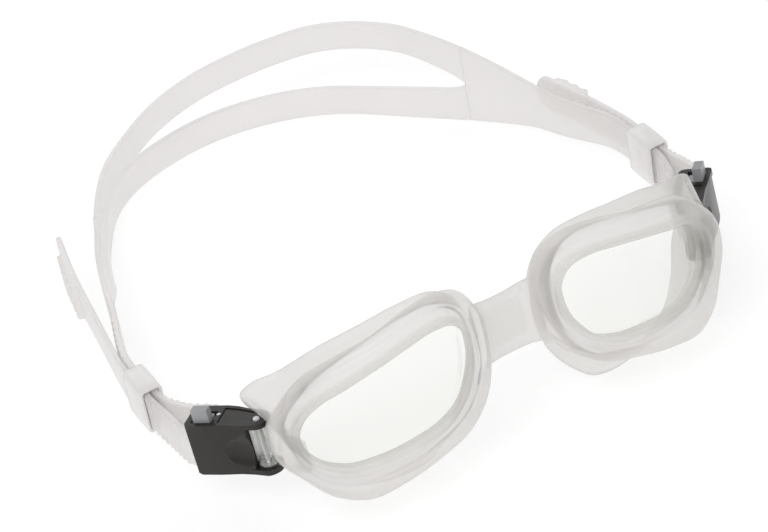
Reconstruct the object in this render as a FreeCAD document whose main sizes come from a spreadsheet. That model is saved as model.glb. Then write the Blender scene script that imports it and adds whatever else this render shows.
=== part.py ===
"""Swim goggles: soft silicone frame, two lenses, two hinged strap buckles and a split head strap.

Frame: +X across the face, +Y towards the back of the head, +Z up, millimetres.
The origin is on the table under the middle of the goggles.
"Left" parts have side = -1 and lie at -X; "right" parts have side = +1 and lie at +X.
"""
import FreeCAD, Part
import Sketcher
import math
import os

from FreeCAD import Placement, Rotation, Vector

doc = FreeCAD.newDocument("goggles")
sheet = doc.addObject("Spreadsheet::Sheet", "Sizes")

SIZES = {
    # where the hinge pins stand
    "pin_x": 72.5, "pin_y": -69.0, "pin_z": 26.4, "pin_lean": 10.6, "buckle_turn": 46.5,
    # hinge, lever and strap bar pins
    "hinge_pin_rad": 1.0, "lever_pin_rad": 0.8, "bar_rad": 1.9, "run_fit": 0.05,
    "lever_pin_u": 12.4, "bar_u": 7.0, "pin_row": -2.6,
    # buckle housing
    "body_len": 21.3, "body_tall": 17.0, "body_out": 3.2, "body_in": 6.8, "panel_inner": 1.4,
    "channel_tall": 13.8, "ear_rad": 4.0, "panel_start": 2.6,
    "notch_from": 12.8, "notch_to": 19.6, "notch_in": 3.8, "notch_out": 2.4,
    # release lever
    "blade_tall": 13.0, "blade_end": 18.0, "boss_rad": 1.5, "tab_top": 11.9, "tab_from": 13.4,
    "tab_to": 18.5, "tab_in": 1.0, "tab_out": 1.9, "arm_low": 6.65,
    # lens hinge lug
    "barrel_rad": 2.7, "barrel_tall": 13.2,
    # strap
    "strap_thick": 1.8, "strap_wide": 12.6, "strap_x": 86.3, "tail_x": 88.7, "tail_thick": 1.6,
    "cut_rad": 37.5, "cut_gap": 0.4, "strap_mid_z": 19.1,
    # keepers
    "keeper_y": -21.5, "keeper_long": 13.0, "keeper_x": 87.45, "keeper_wide": 7.3,
    "keeper_tall": 15.8, "keeper_slot": 4.9, "keeper_slot_tall": 13.4,
    # eyepieces
    "eye_x": 40.0, "eye_y": -93.5, "eye_z": 36.8, "eye_yaw": 8.4, "eye_tilt": 11.3,
    "lens_bend": 67.6, "rim_front": 2.2, "rim_back": 5.5, "lens_front": -1.0, "lens_back": -3.0,
    "lens_lip": 2.2, "wall": 1.8,
    # face surface that trims the cups
    "face_x": 19.0, "face_y": 20.3, "face_rad": 100.2,
}
for row, (name, number) in enumerate(SIZES.items(), start=1):
    sheet.set("A%d" % row, name)
    sheet.set("B%d" % row, str(number))
    sheet.setAlias("B%d" % row, name)
doc.recompute()


class Size:
    """A number together with the spreadsheet expression it comes from."""

    def __init__(self, value, text):
        self.value = value
        self.text = text

    def combine(self, other, sign, value):
        text = other.text if isinstance(other, Size) else repr(float(other))
        return Size(value, "(%s %s %s)" % (self.text, sign, text))

    def __add__(self, other):
        return self.combine(other, "+", self.value + number_of(other))

    def __sub__(self, other):
        return self.combine(other, "-", self.value - number_of(other))

    def __mul__(self, other):
        return self.combine(other, "*", self.value * number_of(other))


def number_of(item):
    """Plain number of a Size or of a number."""
    return item.value if isinstance(item, Size) else float(item)


def size(name):
    """The named spreadsheet size, with its expression."""
    return Size(float(sheet.get(name)), "Sizes." + name)


def val(name):
    """The named spreadsheet size as a plain number."""
    return float(sheet.get(name))


def bind(item, prop, amount):
    """Set a property and tie it to the sheet."""
    setattr(item, prop, number_of(amount))
    if isinstance(amount, Size):
        item.setExpression(prop, amount.text)


# ---------------------------------------------------------------- placements

def buckle_place(side):
    """Local frame of a buckle: u along the buckle, v = -side * outward, z along the hinge pin."""
    turn = val("buckle_turn") if side > 0 else 180.0 - val("buckle_turn")
    lean = Rotation(Vector(1, 0, 0), -val("pin_lean"))
    spin = Rotation(Vector(0, 0, 1), turn)
    return Placement(Vector(side * val("pin_x"), val("pin_y"), val("pin_z")), lean.multiply(spin))


def eye_place(side):
    """Local frame of a lens: x towards the temple side on the right eye, z forward, y up."""
    yaw = math.radians(val("eye_yaw"))
    tilt = math.radians(val("eye_tilt"))
    level = Vector(side * math.sin(yaw), -math.cos(yaw), 0)
    forward = level * math.cos(tilt) + Vector(0, 0, math.sin(tilt))
    up = Vector(0, 0, math.cos(tilt)) - level * math.sin(tilt)
    across = up.cross(forward)
    centre = Vector(side * val("eye_x"), val("eye_y"), val("eye_z"))
    return Placement(centre, Rotation(across, up, forward, "ZXY"))


SIDES = {"left": -1, "right": 1}


# ---------------------------------------------------------------- sketch helpers

def origin_plane(body, role):
    """One of a body's own origin planes."""
    for item in body.Origin.OriginFeatures:
        if item.Role == role:
            return item


def new_sketch(body, name, role="XY_Plane"):
    """Empty sketch on a body's own origin plane."""
    sketch = body.newObject("Sketcher::SketchObject", name)
    sketch.AttachmentSupport = [(origin_plane(body, role), "")]
    sketch.MapMode = "FlatFace"
    return sketch


def pin_down(sketch, line, point, across, along):
    """Hold one sketch point at sizes measured from the origin."""
    for kind, amount in (("DistanceX", across), ("DistanceY", along)):
        index = sketch.addConstraint(Sketcher.Constraint(kind, -1, 1, line, point, number_of(amount)))
        if isinstance(amount, Size):
            sketch.setExpression("Constraints[%d]" % index, amount.text)


def polygon(sketch, corners):
    """Closed outline of straight lines through corners given as (across, along)."""
    points = [Vector(number_of(a), number_of(b), 0) for a, b in corners]
    lines = []
    for here, there in zip(points, points[1:] + points[:1]):
        lines.append(sketch.addGeometry(Part.LineSegment(here, there), False))
    for first, second in zip(lines, lines[1:] + lines[:1]):
        sketch.addConstraint(Sketcher.Constraint("Coincident", first, 2, second, 1))
    for line, (across, along) in zip(lines, corners):
        pin_down(sketch, line, 1, across, along)


def circle(sketch, across, along, radius):
    """Circle with bound centre and radius."""
    centre = Vector(number_of(across), number_of(along), 0)
    ring = sketch.addGeometry(Part.Circle(centre, Vector(0, 0, 1), number_of(radius)), False)
    pin_down(sketch, ring, 3, across, along)
    index = sketch.addConstraint(Sketcher.Constraint("Radius", ring, number_of(radius)))
    sketch.setExpression("Constraints[%d]" % index, radius.text)


def pad(body, name, sketch, length, both_ways=True):
    """Extrude a sketch, centred on its plane or upwards."""
    feature = body.newObject("PartDesign::Pad", name)
    feature.Profile = sketch
    bind(feature, "Length", length)
    if both_ways:
        feature.SideType = "Symmetric"
    doc.recompute()
    return feature


def pocket(body, name, sketch, length, both_ways=True, upwards=False):
    """Cut a sketch out of the body and make sure that it removed something."""
    before = body.Shape.Volume
    feature = body.newObject("PartDesign::Pocket", name)
    feature.Profile = sketch
    bind(feature, "Length", length)
    if both_ways:
        feature.SideType = "Symmetric"
    feature.Reversed = upwards
    doc.recompute()
    if body.Shape.Volume > before - 0.01:
        raise RuntimeError(name + " removed nothing")
    return feature


def round_edges(body, name, radius, wanted):
    """Fillet the edges of the body's last feature that pass the test."""
    tip = body.Tip
    names = ["Edge%d" % (i + 1) for i, edge in enumerate(tip.Shape.Edges) if wanted(edge)]
    feature = body.newObject("PartDesign::Fillet", name)
    feature.Base = (tip, names)
    feature.Radius = radius
    doc.recompute()


def upright(edge):
    """True for a straight edge along the local z axis."""
    if len(edge.Vertexes) < 2:
        return False
    step = edge.Vertexes[1].Point - edge.Vertexes[0].Point
    return abs(step.x) < 0.001 and abs(step.y) < 0.001


# ---------------------------------------------------------------- buckle parts

def buckle_housing(name, side):
    """Black housing: outer panel with a top and a bottom plate, open towards the head."""
    out = -side
    body = doc.addObject("PartDesign::Body", name)
    outline = new_sketch(body, name + "_outline")
    polygon(outline, [
        (0, size("body_out") * out), (size("body_len"), size("body_out") * out),
        (size("body_len") - 1.0, size("body_in") * -out), (7.0, size("body_in") * -out),
        (0, size("ear_rad") * -out)])
    pad(body, name + "_block", outline, size("body_tall"))
    ear = new_sketch(body, name + "_ear_outline")
    circle(ear, 0, 0, size("ear_rad"))
    pad(body, name + "_ears", ear, size("body_tall"))
    channel = new_sketch(body, name + "_channel_outline")
    wide = 9.0
    polygon(channel, [
        (-6.0, -out * wide), (size("body_len") + 3.0, -out * wide),
        (size("body_len") + 3.0, size("panel_inner") * out),
        (size("panel_start"), size("panel_inner") * out), (size("panel_start"), out * wide),
        (-6.0, out * wide)])
    pocket(body, name + "_channel", channel, size("channel_tall"))
    holes = new_sketch(body, name + "_hinge_hole_outline")
    circle(holes, 0, 0, size("hinge_pin_rad") + size("run_fit"))
    pocket(body, name + "_hinge_hole", holes, size("body_tall") + 2.0)
    pin_hole = new_sketch(body, name + "_lever_pin_hole_outline")
    circle(pin_hole, size("lever_pin_u"), size("pin_row") * out, size("lever_pin_rad"))
    pocket(body, name + "_lever_pin_hole", pin_hole, size("body_tall") + 2.0)
    sockets = new_sketch(body, name + "_bar_socket_outline")
    circle(sockets, size("bar_u"), size("pin_row") * out, size("bar_rad"))
    pocket(body, name + "_bar_sockets", sockets, size("channel_tall") + 1.6)
    notch = new_sketch(body, name + "_notch_outline")
    polygon(notch, [
        (size("notch_from"), size("notch_in") * -out), (size("notch_to"), size("notch_in") * -out),
        (size("notch_to"), size("notch_out") * out), (size("notch_from"), size("notch_out") * out)])
    pocket(body, name + "_notch", notch, size("body_tall"), both_ways=False, upwards=True)
    body.Placement = buckle_place(side)
    return body


def release_lever(name, side):
    """Grey lever: blade between the strap layers, with a tab above the top plate."""
    out = -side
    row = size("pin_row")
    body = doc.addObject("PartDesign::Body", name)
    boss = new_sketch(body, name + "_boss_outline")
    circle(boss, size("lever_pin_u"), row * out, size("boss_rad"))
    pad(body, name + "_boss", boss, size("blade_tall"))
    blade = new_sketch(body, name + "_blade_outline")
    polygon(blade, [
        (size("lever_pin_u"), (row - 1.5) * out), (size("blade_end"), (row - 0.4) * out),
        (size("blade_end"), (row + 1.5) * out), (size("lever_pin_u"), (row + 1.5) * out)])
    pad(body, name + "_blade", blade, size("blade_tall"))
    arm_in = (row - 0.4) * out
    post = new_sketch(body, name + "_post_outline")
    polygon(post, [
        (size("tab_from") + 0.2, arm_in), (size("tab_to") - 0.8, arm_in),
        (size("tab_to") - 0.8, (row + 1.4) * out), (size("tab_from") + 0.2, (row + 1.4) * out)])
    pad(body, name + "_post", post, 8.2, both_ways=False)
    arm = new_sketch(body, name + "_arm_outline")
    arm.AttachmentOffset = Placement(Vector(0, 0, val("arm_low")), Rotation())
    polygon(arm, [
        (size("tab_from") + 0.2, arm_in), (size("tab_to") - 0.2, arm_in),
        (size("tab_to") - 0.2, size("tab_out") * out), (size("tab_from") + 0.2, size("tab_out") * out)])
    pad(body, name + "_arm", arm, 1.6, both_ways=False)
    tab = new_sketch(body, name + "_tab_outline")
    tab.AttachmentOffset = Placement(Vector(0, 0, 8.2), Rotation())
    polygon(tab, [
        (size("tab_from"), size("tab_in") * -out), (size("tab_to"), size("tab_in") * -out),
        (size("tab_to"), size("tab_out") * out), (size("tab_from"), size("tab_out") * out)])
    pad(body, name + "_tab", tab, size("tab_top") - 8.2, both_ways=False)
    bore = new_sketch(body, name + "_bore_outline")
    circle(bore, size("lever_pin_u"), row * out, size("lever_pin_rad") + size("run_fit"))
    pocket(body, name + "_bore", bore, 20.0)
    spring_room = new_sketch(body, name + "_spring_room_outline")
    circle(spring_room, size("lever_pin_u"), row * out, size("lever_pin_rad") + 0.95)
    pocket(body, name + "_spring_room", spring_room, 4.4)
    body.Placement = buckle_place(side)
    return body


def round_bar(name, side, radius, tall, along, row):
    """Cylinder standing along the local z axis of a buckle."""
    bar = doc.addObject("Part::Cylinder", name)
    bind(bar, "Radius", radius)
    bind(bar, "Height", tall)
    middle = Vector(number_of(along), -side * number_of(row), -number_of(tall) / 2)
    bar.Placement = buckle_place(side).multiply(Placement(middle, Rotation()))
    return bar


def lever_spring(name, side):
    """Small coil round the lever pin, inside the lever."""
    coil_rad = val("lever_pin_rad") + 0.5
    helix = Part.makeHelix(0.6, 3.6, coil_rad)
    wire = Part.Wire(helix.Edges)
    section = Part.Wire([Part.makeCircle(0.2, Vector(coil_rad, 0, 0), Vector(0, 1, 0))])
    coil = wire.makePipeShell([section], True, True)
    item = doc.addObject("Part::Feature", name)
    item.Shape = coil
    middle = Vector(val("lever_pin_u"), -side * val("pin_row"), -1.8)
    item.Placement = buckle_place(side).multiply(Placement(middle, Rotation()))
    return item


# ---------------------------------------------------------------- strap parts

def bend_then_run(start, heading, bend_from, radius, turn, run):
    """Straight piece, one arc and another straight piece; the heading turns clockwise."""
    first = start + heading * bend_from
    side_way = Vector(heading.y, -heading.x, 0)
    centre = first + side_way * radius
    half = Rotation(Vector(0, 0, 1), -turn / 2)
    full = Rotation(Vector(0, 0, 1), -turn)
    middle = centre + half.multVec(first - centre)
    last = centre + full.multVec(first - centre)
    end = last + full.multVec(heading) * run
    return [Part.makeLine(start, first), Part.Arc(first, middle, last).toShape(),
            Part.makeLine(last, end)]


def strap_loop(name, side):
    """Strap end that comes in on the head side, wraps the bar and leaves along the panel."""
    row = val("pin_row")
    wrap = val("bar_rad") + 0.1 + val("strap_thick") / 2
    bar_u = val("bar_u")
    turn = 90.0 - val("buckle_turn")
    forward = Vector(1, 0, 0)
    outer = bend_then_run(Vector(bar_u, row + wrap, 0), forward, 14.2, 5.0, turn, 30.0)
    inner = bend_then_run(Vector(bar_u, row - wrap, 0), forward, 10.9, 20.0, turn, 30.0)
    back = Part.Arc(Vector(bar_u, row + wrap, 0), Vector(bar_u - wrap, row, 0),
                    Vector(bar_u, row - wrap, 0)).toShape()
    path = Part.Wire([outer[2], outer[1], outer[0], back, inner[0], inner[1], inner[2]])
    end = outer[2].Vertexes[1].Point
    along = (end - outer[2].Vertexes[0].Point).normalize()
    across = Vector(-along.y, along.x, 0) * (val("strap_thick") / 2)
    tall = Vector(0, 0, val("strap_wide") / 2)
    corners = [end + across + tall, end + across - tall, end - across - tall, end - across + tall]
    section = Part.makePolygon(corners + corners[:1])
    band = path.makePipeShell([section], True, False)
    limit = Part.makeCylinder(val("cut_rad") - val("cut_gap") / 2, 60, Vector(0, 0, -30))
    band = band.common(limit)
    if side > 0:
        band = band.mirror(Vector(0, 0, 0), Vector(0, 1, 0))
    item = doc.addObject("Part::Feature", name)
    item.Shape = band
    item.Placement = buckle_place(side)
    return item


def outline_face(points, thick):
    """Flat band of even thickness along a smooth path through the points."""
    path = Part.BSplineCurve()
    path.interpolate(points)
    first, last = path.FirstParameter, path.LastParameter
    count = 12 * len(points)
    rows = {1: [], -1: []}
    for i in range(count + 1):
        where = first + (last - first) * i / count
        here = path.value(where)
        ahead = path.tangent(where)[0]
        normal = Vector(-ahead.y, ahead.x, 0).normalize()
        for way in rows:
            rows[way].append(here + normal * (way * thick / 2))
    edges = []
    for way in rows:
        curve = Part.BSplineCurve()
        curve.approximate(Points=rows[way], Tolerance=0.01)
        edges.append(curve.toShape())
    edges.append(Part.makeLine(rows[1][0], rows[-1][0]))
    edges.append(Part.makeLine(rows[1][-1], rows[-1][-1]))
    return Part.Face(Part.Wire(Part.__sortEdges__(edges)))


def wall_of(points, thick):
    """Tall upright wall along a path; side profiles trim it later."""
    flat = [Vector(x, y, -20) for x, y in points]
    return outline_face(flat, thick).extrude(Vector(0, 0, 100))


def side_profile(rows):
    """Prism across X whose smooth upper and lower edges follow (y, low, high) rows."""
    wide = 200.0
    edges = []
    for column in (1, 2):
        curve = Part.BSplineCurve()
        points = [Vector(-wide, row[0], row[column]) for row in rows]
        curve.interpolate(points)
        edges.append(curve.toShape())
    for row in (rows[0], rows[-1]):
        edges.append(Part.makeLine(Vector(-wide, row[0], row[1]), Vector(-wide, row[0], row[2])))
    face = Part.Face(Part.Wire(Part.__sortEdges__(edges)))
    return face.extrude(Vector(2 * wide, 0, 0))


def pin_cylinder(side, radius):
    """Big cylinder round a hinge pin, used to part the strap from the buckle's loop."""
    drum = Part.makeCylinder(radius, 120, Vector(0, 0, -60))
    drum.Placement = buckle_place(side)
    return drum


def table_block():
    """Everything below the table top, cut away from what rests on it."""
    return Part.makeBox(400, 400, 40, Vector(-200, -200, -40))


# how far the single band climbs near the buckle: (y, rise)
STRAP_CLIMB = [(-48.0, 2.4), (-40.0, 1.3), (-35.0, 0.5), (-31.0, 0.06)]


def strap_path():
    """Middle line of the strap seen from above, from the left pin round to the right."""
    half = [(-val("strap_x"), y) for y in (-44.0, -28.0, -18.0, -10.0)]
    half += [(-85.1, -2.5), (-82.3, 6.0), (-79.2, 15.0), (-75.9, 28.0), (-71.8, 39.5)]
    half += [(-66.5, 50.0), (-58.0, 62.0), (-44.0, 82.0), (-25.0, 94.3), (0.0, 99.0)]
    return half + [(-x, y) for x, y in half[-2::-1]]


def front_rows(level_at):
    """Side profile of the single band: it climbs a little where it meets the buckle."""
    mid = val("strap_mid_z")
    half = val("strap_wide") / 2
    rows = [(y, mid + rise - half, mid + rise + half) for y, rise in STRAP_CLIMB]
    return rows + [(y, mid - half, mid + half) for y in level_at]


def head_strap(name):
    """Rear strap: single band at each side that splits into two bands behind the head."""
    rows = front_rows((-26.0, -15.0, -5.0))
    rows += [(10.0, 10.8, 24.8), (27.0, 8.2, 24.9), (41.0, 4.8, 27.8), (50.0, 3.0, 30.6)]
    rows += [(59.0, 1.2, 33.4)] + [(y, -0.5, 34.8) for y in (70.0, 82.0, 94.0, 106.0, 120.0)]
    wall = wall_of(strap_path(), val("strap_thick"))
    band = wall.common(side_profile(rows))
    slot = [(51.0, 17.1, 17.3), (54.0, 15.0, 19.5), (57.5, 13.6, 21.3), (63.0, 12.6, 23.2)]
    slot += [(70.0, 11.6, 24.4)] + [(y, 10.8, 24.7) for y in (80.0, 90.0, 104.0, 130.0)]
    band = band.cut(side_profile(slot)).cut(table_block())
    for side in SIDES.values():
        band = band.cut(pin_cylinder(side, val("cut_rad") + val("cut_gap") / 2))
    item = doc.addObject("Part::Feature", name)
    item.Shape = band
    return item


def strap_tail(name, side, path, grip):
    """Free end of the strap outside the main band, with a thicker grip pad."""
    mid = val("strap_mid_z")
    half = val("strap_wide") / 2
    end = path[-1][1]
    rows = front_rows((-26.0, end / 2 - 12.0, end - 16.0, end - 8.0))
    rows += [(end - 3.0, mid - half + 1.2, mid + half - 1.2), (end, mid - 3.2, mid + 3.2)]
    points = [(side * x, y) for x, y in path]
    tail = wall_of(points, val("tail_thick")).common(side_profile(rows))
    pad_rows = [(y, mid - half + 1.0, mid + half - 1.0) for y in (grip[0], grip[1])]
    thick = [(side * (x + 0.9), y) for x, y in path]
    tail = tail.fuse(wall_of(thick, val("tail_thick")).common(side_profile(pad_rows)))
    tail = tail.cut(pin_cylinder(side, val("cut_rad") + val("cut_gap") / 2)).removeSplitter()
    item = doc.addObject("Part::Feature", name)
    item.Shape = tail
    return item


def keeper(name, side):
    """Clear sleeve that holds the tail against the strap."""
    body = doc.addObject("PartDesign::Body", name)
    outline = new_sketch(body, name + "_outline", "XZ_Plane")
    wide, tall = size("keeper_wide") * 0.5, size("keeper_tall") * 0.5
    polygon(outline, [(wide * -1, tall * -1), (wide, tall * -1), (wide, tall), (wide * -1, tall)])
    pad(body, name + "_block", outline, size("keeper_long"))
    along_y = lambda edge: len(edge.Vertexes) > 1 and abs(edge.Length - val("keeper_long")) < 0.01
    round_edges(body, name + "_corners", 1.0, along_y)
    slot = new_sketch(body, name + "_slot_outline", "XZ_Plane")
    wide, tall = size("keeper_slot") * 0.5, size("keeper_slot_tall") * 0.5
    polygon(slot, [(wide * -1, tall * -1), (wide, tall * -1), (wide, tall), (wide * -1, tall)])
    pocket(body, name + "_slot", slot, size("keeper_long") + 2.0)
    middle = Vector(side * val("keeper_x"), val("keeper_y"), val("strap_mid_z"))
    body.Placement = Placement(middle, Rotation())
    return body


# ---------------------------------------------------------------- eyepieces

# outlines in the lens plane, listed from the nose side upwards: (towards the nose, up)
RIM = [(30, 8), (29.4, 17), (25.4, 24), (18, 27.3), (8, 26.3), (-3, 22.8), (-14, 19.8), (-24, 15.5),
       (-30.6, 8.7), (-35.6, 1), (-35.6, -6.3), (-30, -13.8), (-23.5, -20.5), (-15, -23.6),
       (-4, -21.7), (8, -18.3), (18.4, -14.6), (25.8, -7.8), (29.2, 0)]
WINDOW = [(23.5, 8), (23, 13.5), (20, 17.3), (14, 18.4), (6, 17), (-4, 14.2), (-14, 10.8),
          (-21.5, 7.8), (-26, 4), (-28, -1), (-27, -6), (-23.5, -10.6), (-17.5, -13.3),
          (-9, -13.4), (2, -12), (11, -10), (17.2, -6.5), (21, -1), (23, 4)]
# back edge of a cup on the face: (distance from the middle, height), in the same order
FACE_EDGE = [(9.8, 38), (10.6, 47), (13, 54.5), (19, 60), (30, 61.3), (41, 59.4), (51, 56.2),
             (64, 48.9), (75, 42.6), (70.6, 33.2), (65, 24), (63.6, 14), (58, 3.0), (47, -3.4),
             (37, -5.8), (28, -2.9), (20.5, 6.5), (14.5, 17.5), (11, 28)]


def smooth_wire(points):
    """Closed smooth wire through the points."""
    curve = Part.BSplineCurve()
    curve.interpolate(Points=points, PeriodicFlag=True)
    return Part.Wire([curve.toShape()])


def lens_points(outline, side, forward, grow=0.0):
    """Outline points of a lens-plane shape at a height in front, moved outwards by grow."""
    place = eye_place(side)
    points = []
    count = len(outline)
    for i, (nose, up) in enumerate(outline):
        before = outline[i - 1]
        after = outline[(i + 1) % count]
        step = Vector(after[0] - before[0], after[1] - before[1], 0).normalize()
        nose_out = nose + grow * step.y
        up_out = up - grow * step.x
        points.append(place.multVec(Vector(-side * nose_out, up_out, forward)))
    return points


def face_points(side, grow=0.0):
    """Back edge points of a cup on the slanted plane behind it."""
    points = []
    middle = Vector(40, 0, 28)
    for x, z in FACE_EDGE:
        moved = Vector(x, 0, z) + (middle - Vector(x, 0, z)).normalize() * -grow
        points.append(Vector(side * moved.x, -80.0 + (moved.x - 12.0) * 0.242, moved.z))
    return points


def prism(outline, side, low, high, grow=0.0):
    """Straight solid through a lens-plane outline."""
    wire = smooth_wire(lens_points(outline, side, low, grow))
    forward = eye_place(side).Rotation.multVec(Vector(0, 0, high - low))
    return Part.Face(wire).extrude(forward)


def bend_drum(side, surface):
    """Cylinder whose front skin is the bent lens surface moved forward by surface."""
    radius = val("lens_bend") + surface
    drum = Part.makeCylinder(radius, 200, Vector(0, -100, -val("lens_bend")), Vector(0, 1, 0))
    drum.Placement = eye_place(side)
    return drum


def between(outline, side, back, front, grow=0.0):
    """Outline solid kept between two bent surfaces."""
    solid = prism(outline, side, -40, 12, grow)
    return solid.common(bend_drum(side, front)).cut(bend_drum(side, back))


def middle_outline():
    """Outline half way between window and rim: where the cup wall meets the rim."""
    return [((a[0] + b[0]) / 2, (a[1] + b[1]) / 2) for a, b in zip(RIM, WINDOW)]


def cup_solid(side, grow):
    """Solid from the rim back to the face edge, moved inwards by a negative grow."""
    front = smooth_wire(lens_points(middle_outline(), side, -2.0, grow))
    back = smooth_wire(face_points(side, grow))
    return Part.makeLoft([front, back], True, True)


def lens_shape(side):
    """Bent lens plate with the lug and hinge barrel at its temple end."""
    plate = between(WINDOW, side, val("lens_back"), val("lens_front"), val("lens_lip"))
    place = buckle_place(side)
    tall = val("barrel_tall")
    barrel = Part.makeCylinder(val("barrel_rad"), tall, Vector(0, 0, -tall / 2))
    barrel.Placement = place
    tip = place.inverse().multVec(Vector(side * 68.0, -83.5, 29.0))
    root = Vector(tip.x, tip.y, 0)
    along = root * (1.0 / root.Length)
    across = Vector(-along.y, along.x, 0) * 1.5
    corners = [across, across * -1, root - across, root + across]
    corners = [point + Vector(0, 0, -5.0) for point in corners]
    arm = Part.Face(Part.makePolygon(corners + corners[:1])).extrude(Vector(0, 0, 10.0))
    arm.Placement = place
    lens = plate.fuse(barrel).fuse(arm)
    bore = Part.makeCylinder(val("hinge_pin_rad"), 40, Vector(0, 0, -20))
    bore.Placement = place
    return lens.cut(bore).removeSplitter()


def bridge_shape():
    """Nose bridge plate between the two cups, arched along its lower edge."""
    profile = [(-82.0, 49.2), (-78.6, 49.0), (-81.6, 28.6), (-86.4, 28.8)]
    corners = [Vector(-15, y, z) for y, z in profile]
    plate = Part.Face(Part.makePolygon(corners + corners[:1])).extrude(Vector(30, 0, 0))
    arch = Part.makeCylinder(26.0, 40, Vector(0, -100, 3.6), Vector(0, 1, 0))
    saddle = Part.makeCylinder(60.0, 40, Vector(0, -100, 107.8), Vector(0, 1, 0))
    return plate.cut(arch).cut(saddle)


def insert_box(grow=0.0):
    """Flat stiffener inside the bridge, leaning with it."""
    box = Part.makeBox(13 + 2 * grow, 1.2 + 2 * grow, 11 + 2 * grow,
                       Vector(-6.5 - grow, -0.6 - grow, -5.5 - grow))
    box.Placement = Placement(Vector(0, -82.1, 39.0), Rotation(Vector(1, 0, 0), -11))
    return box


def silicone_frame(name, lenses):
    """Soft frame: two cups with thick front rims and the bridge, trimmed to face and table."""
    frame = bridge_shape()
    for side in SIDES.values():
        rim = between(RIM, side, -val("rim_back"), val("rim_front"))
        cup = cup_solid(side, 0.0).common(bend_drum(side, val("rim_front")))
        frame = frame.fuse(rim).fuse(cup)
    for side in SIDES.values():
        hollow = cup_solid(side, -val("wall")).common(bend_drum(side, -val("rim_back")))
        frame = frame.cut(hollow)
        frame = frame.cut(prism(WINDOW, side, -60, 12))
        face = Part.makeCylinder(val("face_rad"), 200, Vector(side * val("face_x"), val("face_y"), -60))
        half = Part.makeBox(200, 200, 200, Vector(0 if side > 0 else -200, -100, -60))
        frame = frame.cut(face.common(half))
        ear_room = Part.makeCylinder(val("ear_rad") + 0.6, 19.0, Vector(0, 0, -9.5))
        ear_room.Placement = buckle_place(side)
        frame = frame.cut(ear_room)
    for lens in lenses:
        frame = frame.cut(lens)
    frame = frame.cut(insert_box())
    frame = frame.cut(table_block())
    largest = max(frame.Solids, key=lambda solid: solid.Volume)
    item = doc.addObject("Part::Feature", name)
    item.Shape = largest.removeSplitter()
    return item


def bridge_insert(name):
    """The stiffener as its own part."""
    item = doc.addObject("Part::Feature", name)
    item.Shape = insert_box()
    return item


# ---------------------------------------------------------------- build

def build():
    """Make every sub-part and return them."""
    parts = []
    lenses = []
    for word, side in SIDES.items():
        lens = doc.addObject("Part::Feature", "lens_" + word)
        lens.Shape = lens_shape(side)
        lenses.append(lens.Shape)
        parts.append(lens)
        pin_tall = size("body_tall") + 0.2
        parts.append(round_bar("hinge_pin_" + word, side, size("hinge_pin_rad"), pin_tall, 0, 0))
        parts.append(buckle_housing("buckle_housing_" + word, side))
        parts.append(round_bar("strap_bar_" + word, side, size("bar_rad"),
                               size("channel_tall") + 1.6, size("bar_u"), size("pin_row")))
        parts.append(round_bar("lever_pin_" + word, side, size("lever_pin_rad"),
                               size("body_tall"), size("lever_pin_u"), size("pin_row")))
        parts.append(release_lever("release_lever_" + word, side))
        parts.append(lever_spring("lever_spring_" + word, side))
        parts.append(strap_loop("strap_loop_" + word, side))
        parts.append(keeper("keeper_" + word, side))
    parts.append(silicone_frame("silicone_frame", lenses))
    parts.append(bridge_insert("bridge_insert"))
    parts.append(head_strap("head_strap"))
    first = [(val("tail_x"), y) for y in (-44.0, -28.0, -18.0, -10.0)] + [(87.7, -2.5)]
    long_path = first + [(85.2, 14.0), (81.6, 37.0), (76.4, 61.0)]
    short_path = first + [(85.2, 11.0), (80.4, 31.0)]
    parts.append(strap_tail("strap_tail_left", -1, long_path, (31.0, 49.0)))
    parts.append(strap_tail("strap_tail_right", 1, short_path, (11.0, 24.0)))
    return parts


def save(parts):
    """Check every object and write one STEP file per sub-part."""
    doc.recompute()
    for item in doc.Objects:
        if "Invalid" in item.State or "Error" in item.State:
            raise RuntimeError("%s is in a bad state" % item.Name)
    os.makedirs("parts", exist_ok=True)
    for part in parts:
        part.Label = part.Name
        if part.Shape.isNull() or not part.Shape.isValid():
            raise RuntimeError(part.Label + " has a bad shape")
        part.Shape.exportStep("parts/%s.step" % part.Label)
        box = part.Shape.BoundBox
        print("%-24s solids %d volume %9.1f  x %7.1f %7.1f  y %7.1f %7.1f  z %6.1f %6.1f" % (
            part.Label, len(part.Shape.Solids), part.Shape.Volume,
            box.XMin, box.XMax, box.YMin, box.YMax, box.ZMin, box.ZMax))


save(build())
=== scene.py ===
"""Swim goggles: looks. Lengths in the helpers are millimetres in the CAD frame; meshes are metres."""
import math

import bmesh
import bpy
import numpy as np
from mathutils import Matrix, Vector


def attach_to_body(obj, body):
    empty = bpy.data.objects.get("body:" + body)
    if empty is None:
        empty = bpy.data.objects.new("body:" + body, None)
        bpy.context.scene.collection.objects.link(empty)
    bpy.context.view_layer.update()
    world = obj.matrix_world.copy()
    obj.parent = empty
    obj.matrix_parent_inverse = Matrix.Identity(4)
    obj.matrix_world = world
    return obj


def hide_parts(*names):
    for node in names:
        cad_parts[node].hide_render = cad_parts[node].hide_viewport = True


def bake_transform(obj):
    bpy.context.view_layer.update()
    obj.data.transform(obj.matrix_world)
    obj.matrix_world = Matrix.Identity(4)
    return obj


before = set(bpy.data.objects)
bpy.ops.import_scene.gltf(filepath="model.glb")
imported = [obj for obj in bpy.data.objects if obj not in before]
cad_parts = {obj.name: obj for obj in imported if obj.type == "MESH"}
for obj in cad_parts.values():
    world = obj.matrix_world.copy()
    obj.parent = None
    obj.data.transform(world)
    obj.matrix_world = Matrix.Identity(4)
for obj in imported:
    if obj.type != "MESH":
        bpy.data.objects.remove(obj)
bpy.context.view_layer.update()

MM = 0.001
SIDES = {"left": -1, "right": 1}
LEAN = math.radians(10.6)
SPLAY = math.radians(46.5)
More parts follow.
